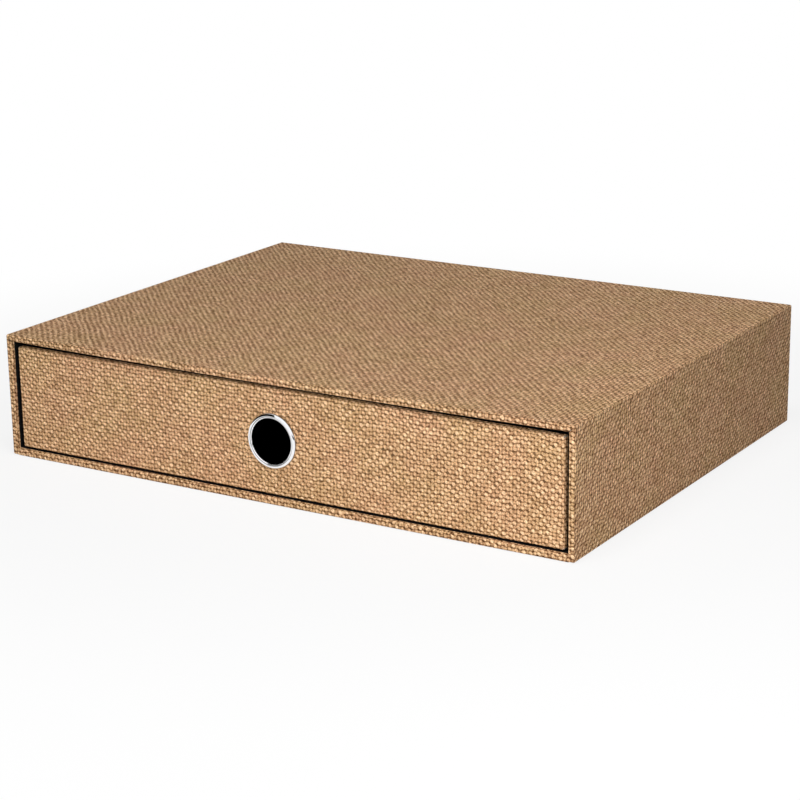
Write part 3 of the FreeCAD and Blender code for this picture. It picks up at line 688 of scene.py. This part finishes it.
def face_sheet(cover, low, high, hole, hole_radius):
    """Paper of the drawer's face: pressed front and edges, turned back behind, round hole."""
    sheet = Sheet()
    step, radius, depth = cover.face_step, cover.edge_round, high.y - low.y
    across, up = steps_between(low.x, high.x, step), steps_between(low.z, high.z, step)
    deep = steps_between(0.0, depth, step)
    limit = (low, Vector((high.x, high.y + radius, high.z)))
    middle_up = (low.z + high.z) / 2
    room = high.x - low.x + 2 * depth
    scale = 1.0 / (room / 2 + 4 * CHART_MARGIN)
    strip = high.z - low.z + 2 * depth + 6 * CHART_MARGIN

    def chart_of(place, middle):
        """Place on the chart, which has the sheet's halves one over the other."""
        right = middle[0] > 0
        u = place[0] + (0.0 if right else room / 2)
        v = place[1] - middle_up + strip / 2 + (strip if right else 0.0)
        return (u + CHART_MARGIN) * scale, v * scale

    def point(x, y, z, place):
        at = clamp_rounded((x, y, z), *limit, radius)
        return sheet.point(at, place, min(1.0, max(0.0, 1.0 - (y - low.y) / depth) * FADE))

    sheet.patch(across, up, lambda x, z: point(x, low.y, z, (x, z)), chart_of)
    for side, edge in ((-1, low.x), (1, high.x)):
        sheet.patch(deep, up, lambda d, z: point(edge, low.y + d, z, (edge + side * d, z)),
                    lambda p, m: chart_of((edge + side * p[0], p[1]), (edge, 0)))
    for side, edge in ((-1, low.z), (1, high.z)):
        sheet.patch(across, deep, lambda x, d: point(x, low.y + d, edge, (x, edge + side * d)),
                    lambda p, m: chart_of((p[0], edge + side * p[1]), m))
    open_round_hole(sheet, hole, hole_radius)
    close_behind(sheet, low, high, cover)
    return as_mesh(sheet.mesh, "face_cover_pressed")


def open_round_hole(sheet, hole, radius):
    """Cut the faces within the circle and bring the cut edge onto it."""
    near = 1.2 * radius

    def out(point):
        return Vector((point.x - hole.x, point.z - hole.z))

    inside = [f for f in sheet.mesh.faces if out(f.calc_center_median()).length < radius]
    bmesh.ops.delete(sheet.mesh, geom=inside, context="FACES")
    for vertex in {v for e in sheet.mesh.edges if e.is_boundary for v in e.verts}:
        away = out(vertex.co)
        if away.length < near:
            away = away.normalized() * radius
            vertex.co.x, vertex.co.z = hole.x + away.x, hole.z + away.y
            vertex[sheet.embossed] = 0.0


def loop_of(edges):
    """The vertices of one closed run of edges, in order."""
    left = set(edges[1:])
    run = list(edges[0].verts)
    while left:
        edge = next(e for e in run[-1].link_edges if e in left)
        left.remove(edge)
        run.append(edge.other_vert(run[-1]))
    return run[:-1] if run[0] == run[-1] else run


def close_behind(sheet, low, high, cover):
    """Fold the paper round behind the board and give it its inner side."""
    gauge, radius, turn_back = cover.gauge, cover.edge_round, cover.turn_back
    cut, inner_cut, bend = 0.6 * radius, 0.4 * radius, 0.8 * radius
    middle_x, middle_z = (low.x + high.x) / 2, (low.z + high.z) / 2

    def add(points):
        """A face that never shows, on a speck of the chart."""
        sheet.face(points, [(SPECK[0] + SPECK_SIZE[0] * (i % 2),
                             SPECK[1] + SPECK_SIZE[1] * (i // 2 % 2)) for i in range(len(points))])

    def four(inset, y):
        return [sheet.point((x, y, z)) for x, z in corners_of(low, high, inset)]

    def ring(inset, y, cut):
        """Eight corners of a loop, anticlockwise as seen from the front."""
        (x0, z0), _, (x1, z1), _ = corners_of(low, high, inset)
        corners = ((x0 + cut, z0), (x1 - cut, z0), (x1, z0 + cut), (x1, z1 - cut),
                   (x1 - cut, z1), (x0 + cut, z1), (x0, z1 - cut), (x0, z0 + cut))
        return [sheet.point((x, y, z)) for x, z in corners]

    def anticlockwise(run, y):
        here, there = run[0].co, run[1].co
        if (there - here).cross(here - Vector((middle_x, y, middle_z))).y < 0:
            run.reverse()
        return run

    def side_of(vertex):
        """0 below, 1 right, 2 above, 3 left."""
        x, z = vertex.co.x - middle_x, vertex.co.z - middle_z
        if high.z - middle_z - abs(z) <= high.x - middle_x - abs(x):
            return 2 if z > 0 else 0
        return 1 if x > 0 else 3

    def at_back(edge):
        return all(v.co.y > high.y - TINY for v in edge.verts)

    rims = [e for e in sheet.mesh.edges if e.is_boundary]
    hole_rim = anticlockwise(loop_of([e for e in rims if not at_back(e)]), low.y)
    rim = anticlockwise(loop_of([e for e in rims if at_back(e)]), high.y)
    start = next(i for i, v in enumerate(rim) if side_of(v) == 0 and side_of(rim[i - 1]) == 3)
    rim = rim[start:] + rim[:start]
    edge = four(turn_back, high.y)
    for side in range(4):
        run = [v for v in rim if side_of(v) == side]
        after = rim[(rim.index(run[-1]) + 1) % len(rim)]
        add([*run, after, edge[(side + 1) % 4], edge[side]])
    inner_edge = four(turn_back, high.y - gauge)
    back = ring(gauge, high.y - gauge, cut)
    front = ring(gauge, low.y + bend, cut)
    face = ring(gauge + cut, low.y + gauge, inner_cut)
    for i in range(4):
        j = (i + 1) % 4
        add([edge[i], edge[j], inner_edge[j], inner_edge[i]])
        add([inner_edge[i], inner_edge[j], back[2 * i + 1], back[2 * i]])
        add([inner_edge[j], back[2 * j], back[2 * i + 1]])
    mids = {i: sheet.point((middle_x, low.y + gauge, face[i].co.z)) for i in (0, 4)}
    for i in range(8):
        j = (i + 1) % 8
        add([back[i], back[j], front[j], front[i]])
        add([front[i], front[j], face[j], *([mids[i]] if i in mids else []), face[i]])
    inner_rim = [sheet.point((v.co.x, low.y + gauge, v.co.z)) for v in hole_rim]
    for (v, after), (inner, inner_after) in zip(pairs_round(hole_rim), pairs_round(inner_rim)):
        add([v, after, inner_after, inner])

    def middle_of(above):
        """Place in the inner rim of its point nearest to the middle, above or below."""
        spots = [v.co for v in inner_rim]
        return min(range(len(spots)), key=lambda i: (
            (spots[i].z > middle_z) != above, abs(spots[i].x), spots[i].x))

    lowest = middle_of(above=False)
    inner_rim = inner_rim[lowest:] + inner_rim[:lowest]
    top = middle_of(above=True)
    right_run, left_run = inner_rim[:top + 1], inner_rim[top:] + inner_rim[:1]
    add([mids[0], *face[1:5], mids[4], *reversed(right_run)])
    add([mids[4], *face[5:], face[0], mids[0], *reversed(left_run)])


def bored_board(name, low, high, crush, hole, radius, segments):
    """A board with crushed front edges and a round bore."""
    mesh = bmesh.new()

    def outline(inset, y):
        return [mesh.verts.new((x, y, z)) for x, z in corners_of(low, high, inset)]

    def bore(y):
        turns = [2 * math.pi * i / segments for i in range(segments)]
        return [mesh.verts.new((hole.x + radius * math.cos(a), y, hole.z + radius * math.sin(a)))
                for a in turns]

    def band(one, other):
        for (a, b), (d, c) in zip(pairs_round(one), pairs_round(other)):
            mesh.faces.new((a, b, c, d))

    front, crushed = outline(crush, low.y), outline(0.0, low.y + crush)
    back = outline(0.0, high.y)
    front_bore, back_bore = bore(low.y), bore(high.y)
    band(front, crushed)
    band(crushed, back)
    band(front_bore, back_bore)
    for loops in ((front, front_bore), (back, back_bore)):
        edges = [mesh.edges.get(pair) for loop in loops for pair in pairs_round(loop)]
        bmesh.ops.triangle_fill(mesh, edges=edges, use_beauty=True)
    return as_mesh(mesh, name)


class FILEBOX_OT_face(bpy.types.Operator):
    """Press the drawer's embossed face over its board"""
    bl_idname = "file_box.face"
    bl_label = "Drawer face"

    def execute(self, context):
        cover, eyelet = context.scene.file_box_cover, context.scene.file_box_eyelet
        low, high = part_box("face_cover")
        ring_low, ring_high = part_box("eyelet_ferrule")
        hole = (ring_low + ring_high) / 2
        tube_radius = eyelet.hole_radius + eyelet.metal
        low.x, high.x = low.x + cover.side_ease, high.x - cover.side_ease
        high.z -= cover.top_ease
        mesh = face_sheet(cover, low, high, hole, tube_radius + PAPER_CLEARANCE)
        finish = cover_finish("embossed cover on the drawer", cover, sheet_place,
                              FACE_BUMP, FACE_INK_AND_SHADE,
                              lambda w, place: raw_corners(w, place, low, high, cover.corner_cut))
        face = new_object("face_cover_pressed", mesh)
        press(face, cover, finish)
        mount(face, "drawer", "face_cover")
        paper = Vector((cover.gauge,) * 3)
        board = bored_board("face_board_eased", low + paper, high - paper,
                            cover.edge_round - LESS_CRUSH, hole, tube_radius + BORE_CLEARANCE,
                            eyelet.segments)
        board.materials.append(bpy.data.materials["grey board"])
        mount(new_object("face_board_eased", board), "drawer", "face_board")
        return {"FINISHED"}


# --- the eyelet
# The ferrule's half section. Steps are in millimetres, rises are shares of a height.
FLANGE_EDGE = 0.15  # upright outer edge
BAND = ((0.12, 0.4), (0.42, 0.7), (0.82, 0.89))  # step in from the edge, rise
BAND_END = ((0.38, 1.0), (0.2, 0.93))  # step out from the groove, rise
GROOVE = ((0.06, 0.03), (0.0, 0.0), (-0.08, 0.04))  # step out, step up from its bottom
RIM_STEP_IN = 0.26  # from the groove to the rim's top
RIM = ((0.12, 0.8), (0.0, 0.4), (0.0, 0.0))  # step out from the hole, rise
CLINCH = ((0.0, 0.9), (0.05, 0.35), (0.45, 0.04), (0.9, 0.0))  # step out, step up from the end
CLINCH_REACH, CLINCH_EDGE, CLINCH_LEAN, CLINCH_BEND = 1.3, 0.15, 0.05, (0.1, 0.15)
FRONT_CUTS, BACK_CUTS = 5, 4  # points on each span of the outline


def smooth_line(points, steps):
    """A smooth line through the points: each span is cut into the given number of steps."""
    line = []
    for i in range(len(points) - 1):
        before, a, b, after = (Vector(points[max(0, min(k, len(points) - 1))])
                               for k in range(i - 1, i + 3))
        for k in range(steps):
            t = k / steps
            line.append(0.5 * (2 * a + (b - before) * t
                               + (2 * before - 5 * a + 4 * b - after) * t * t
                               + (3 * a - before - 3 * b + after) * t ** 3))
    return [*line, Vector(points[-1])]


def turned(name, outline, centre, segments):
    """A ring turned from a closed outline of radius and height, its axis facing the front."""
    mesh = bmesh.new()
    chart = mesh.loops.layers.uv.new(CHART)
    rings = []
    for i in range(segments):
        turn = 2 * math.pi * i / segments
        rings.append([mesh.verts.new((centre.x + p[0] * math.cos(turn), centre.y - p[1],
                                      centre.z + p[0] * math.sin(turn))) for p in outline])
    lengths = [0.0]
    for a, b in pairs_round(outline):
        lengths.append(lengths[-1] + (Vector(b) - Vector(a)).length)
    for i, (here, there) in enumerate(pairs_round(rings)):
        for k, ((a, b), (d, c)) in enumerate(zip(pairs_round(here), pairs_round(there))):
            face = mesh.faces.new((a, b, c, d))
            face.smooth = True
            spots = ((i, k), (i, k + 1), (i + 1, k + 1), (i + 1, k))
            for loop, (turn, run) in zip(face.loops, spots):
                loop[chart].uv = (turn / segments, lengths[run] / lengths[-1])
    return as_mesh(mesh, name)


def ferrule_outline(eyelet, tube):
    """Half section of the ferrule: flange, rim, tube, and the end clinched over the washer."""
    r, flange, metal = eyelet.hole_radius, eyelet.flange_radius, eyelet.metal
    groove, clinch = r + eyelet.groove_place, r + CLINCH_REACH * MM
    front = smooth_line([
        (flange, 0.0), (flange, FLANGE_EDGE * MM),
        *((flange - step * MM, rise * eyelet.crown) for step, rise in BAND),
        *((groove + step * MM, rise * eyelet.crown) for step, rise in BAND_END),
        *((groove + step * MM, eyelet.groove_height + up * MM) for step, up in GROOVE),
        (groove - RIM_STEP_IN * MM, eyelet.rim_height),
        *((r + step * MM, rise * eyelet.rim_height) for step, rise in RIM)], FRONT_CUTS)
    back = smooth_line([
        *((r + step * MM, -tube + up * MM) for step, up in CLINCH),
        (clinch, -tube + CLINCH_EDGE * MM), (clinch - CLINCH_LEAN * MM, -tube + metal)], BACK_CUTS)
    out, up = CLINCH_BEND
    return [*front, *back, (r + metal + out * MM, -tube + metal),
            (r + metal, -tube + metal + up * MM), (r + metal, 0.0)]


class FILEBOX_OT_eyelet(bpy.types.Operator):
    """Turn the chromed finger eyelet"""
    bl_idname = "file_box.eyelet"
    bl_label = "Eyelet"

    def execute(self, context):
        eyelet = context.scene.file_box_eyelet
        low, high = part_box("eyelet_ferrule")
        chrome = chrome_finish("chrome plate", eyelet.chrome, (low + high) / 2,
                               eyelet.hole_radius + eyelet.groove_place, eyelet.flange_radius)
        dress(chrome, "eyelet_washer")
        face_low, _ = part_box("face_cover")
        centre = Vector(((low.x + high.x) / 2, face_low.y, (low.z + high.z) / 2))
        outline = ferrule_outline(eyelet, high.y - face_low.y)
        mesh = turned("eyelet_ferrule_turned", outline, centre, eyelet.segments)
        mesh.materials.append(chrome)
        mount(new_object("eyelet_ferrule_turned", mesh), "drawer",
              "eyelet_ferrule")
        return {"FINISHED"}


# --- the studio
FLOOR_REACH, FLOOR_DROP = 6.0, 0.0002
WHITE_FROM, WHITE_SHARE = (0.20, 0.50), (0.84, 1.0)  # floor's white, by way from the box
WHITE = (1.0, 1.0, 1.0)
LAMPS = (
    # name, place, aimed at, size, watts
    ("rake", (0.75, -0.65, 0.75), (0.05, -0.10, 0.03), 0.30, 3.9),
    ("corner", (0.38, -0.40, 0.15), (0.14, -0.12, 0.03), 0.15, 0.42),
    ("front", (-0.05, -1.00, 0.32), (0.03, -0.10, 0.03), 0.35, 3.05),
    ("over", (0.10, -0.30, 1.00), (0.05, -0.05, 0.03), 0.40, 4.35),
    ("behind", (0.05, 1.05, 0.28), (0.0, 0.12, 0.03), 0.50, 2.2),
)
CARD_DISTANCE, CARD_TONE = 0.6, (0.01, 0.01, 0.01)
CARDS = (
    # directions from the eyelet to each card's corners
    ((-0.99, -0.05, -0.03), (-0.70, -0.70, -0.03), (-0.45, -0.89, -0.02),
     (-0.37, -0.74, 0.56), (-0.33, -0.30, 0.89), (-0.85, 0.02, 0.50)),
    ((0.30, -0.95, -0.04), (0.93, -0.36, -0.03), (0.93, -0.33, 0.17), (0.30, -0.95, 0.10)),
)
CAMERA_PLACE = (0.60135, -0.97431, 0.35945)
FILM_GATE, CLIP_START = 36.0, 0.01  # millimetres, metres


class FILEBOX_OT_studio(bpy.types.Operator):
    """Set the pale floor, the soft lamps and the camera"""
    bl_idname = "file_box.studio"
    bl_label = "Studio"

    def execute(self, context):
        studio = context.scene.file_box_studio
        make_floor(studio)
        make_sky(studio)
        make_cards()
        make_lamps()
        make_camera(studio)
        context.scene.view_settings.view_transform = "Standard"
        return {"FINISHED"}


def seen_directly(w):
    """1 for rays that show the background itself: from the camera, or off or through a piece."""
    path = w.add("ShaderNodeLightPath").outputs
    return w.math("MAXIMUM", path["Is Camera Ray"],
                  w.math("MAXIMUM", path["Is Glossy Ray"], path["Is Transmission Ray"]))


def two_shaders(name, first, second, share_of):
    """A finish of two plain shaders: the second shows by a share, the first by the rest."""
    material, w, principled = new_material(name)
    w.tree.nodes.remove(principled)
    mix = w.add("ShaderNodeMixShader")
    w.feed(mix.inputs[0], share_of(w))
    for socket, (kind, tone) in zip(mix.inputs[1:], (first, second)):
        shader = w.add(kind)
        shader.inputs["Color"].default_value = (*tone, 1.0)
        w.feed(socket, shader.outputs[0])
    w.feed(w.tree.nodes["Material Output"].inputs["Surface"], mix.outputs[0])
    return material


def make_floor(studio):
    """A wide pale floor that looks white and still takes the box's shadow."""
    mesh = bpy.data.meshes.new("floor")
    turns = ((-1, -1), (1, -1), (1, 1), (-1, 1))
    mesh.from_pydata([(x * FLOOR_REACH, y * FLOOR_REACH, 0.0) for x, y in turns], [],
                     [(0, 1, 2, 3)])
    floor = new_object("floor", mesh)
    floor.location.z = -FLOOR_DROP

    def whiteness(w):
        place = w.add("ShaderNodeNewGeometry").outputs["Position"]
        away = w.size(w.vector("MULTIPLY", place, (1.0, 1.0, 0.0)))
        grown = w.ramp(away, *WHITE_FROM, *WHITE_SHARE, smooth=True)
        return w.times(seen_directly(w), grown)

    mesh.materials.append(two_shaders(
        "pale floor", ("ShaderNodeBsdfDiffuse", studio.floor), ("ShaderNodeEmission", WHITE),
        whiteness))


def make_sky(studio):
    """Even pale light all round, and white where the sky itself is seen."""
    world = bpy.data.worlds.new("pale studio")
    world.use_nodes = True
    bpy.context.scene.world = world
    w = Wiring(world.node_tree)
    background = w.tree.nodes["Background"]
    background.inputs["Color"].default_value = (*studio.sky, 1.0)
    level = w.ramp(seen_directly(w), 0.0, 1.0, studio.sky_strength, 1.0)
    w.feed(background.inputs["Strength"], level)


def make_cards():
    """Dark cards before the front, which show only in bright metal."""
    low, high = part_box("eyelet_ferrule")
    centre = Vector(((low.x + high.x) / 2, low.y, (low.z + high.z) / 2))
    corners, faces = [], []
    for directions in CARDS:
        faces.append(range(len(corners), len(corners) + len(directions)))
        corners += [centre + Vector(d) * CARD_DISTANCE for d in directions]
    mesh = bpy.data.meshes.new("dark_cards")
    mesh.from_pydata(corners, [], faces)
    new_object("dark_cards", mesh)
    mesh.materials.append(two_shaders(
        "dark card", ("ShaderNodeBsdfTransparent", WHITE), ("ShaderNodeBsdfDiffuse", CARD_TONE),
        lambda w: w.add("ShaderNodeLightPath").outputs["Is Glossy Ray"]))


def make_lamps():
    """Square soft lamps, hidden from the chrome."""
    for name, place, aim, size, watts in LAMPS:
        light = bpy.data.lights.new(name, "AREA")
        light.shape = "SQUARE"
        light.size = size
        light.energy = watts
        lamp = new_object(name, light)
        lamp.visible_glossy = False
        lamp.location = place
        aimed = Vector(aim) - Vector(place)
        lamp.rotation_euler = aimed.to_track_quat("-Z", "Y").to_euler()


def make_camera(studio):
    """A long lens to the right of the front, a little above the lid."""
    turn, rise, lean = studio.azimuth, studio.elevation, studio.roll
    back = Vector((math.sin(turn) * math.cos(rise), -math.cos(turn) * math.cos(rise),
                   math.sin(rise)))
    right = Vector((0.0, 0.0, 1.0)).cross(back).normalized()
    up = back.cross(right)
    leaned_right = right * math.cos(lean) + up * math.sin(lean)
    leaned_up = up * math.cos(lean) - right * math.sin(lean)
    data = bpy.data.cameras.new("camera")
    data.lens = studio.lens
    data.sensor_width = FILM_GATE
    data.clip_start = CLIP_START
    camera = new_object("camera", data)
    axes = Matrix((leaned_right, leaned_up, back)).transposed().to_4x4()
    camera.matrix_world = Matrix.Translation(Vector(CAMERA_PLACE)) @ axes
    bpy.context.scene.camera = camera


# --- the add-on
class FILEBOX_PT_panel(bpy.types.Panel):
    """Steps and settings of the file box"""
    bl_label = "File Box"
    bl_space_type = "VIEW_3D"
    bl_region_type = "UI"
    bl_category = "File Box"

    def draw(self, context):
        for step in STEPS:
            self.layout.operator(step.bl_idname)
        for group_name, group in SETTING_GROUPS.items():
            box = self.layout.box()
            box.label(text=group.__doc__)
            for name in group.__annotations__:
                box.prop(getattr(context.scene, group_name), name)


STEPS = (FILEBOX_OT_casing, FILEBOX_OT_tray, FILEBOX_OT_face, FILEBOX_OT_eyelet,
         FILEBOX_OT_studio)


def register():
    for group_name, group in SETTING_GROUPS.items():
        bpy.utils.register_class(group)
        setattr(bpy.types.Scene, group_name, PointerProperty(type=group))
    for cls in (*STEPS, FILEBOX_PT_panel):
        bpy.utils.register_class(cls)


def unregister():
    for cls in reversed((*STEPS, FILEBOX_PT_panel)):
        bpy.utils.unregister_class(cls)
    for group_name, group in SETTING_GROUPS.items():
        delattr(bpy.types.Scene, group_name)
        bpy.utils.unregister_class(group)


def main():
    register()
    bpy.ops.file_box.casing()
    bpy.ops.file_box.tray()
    bpy.ops.file_box.face()
    bpy.ops.file_box.eyelet()
    bpy.ops.file_box.studio()


if __name__ == "__main__":
    main()
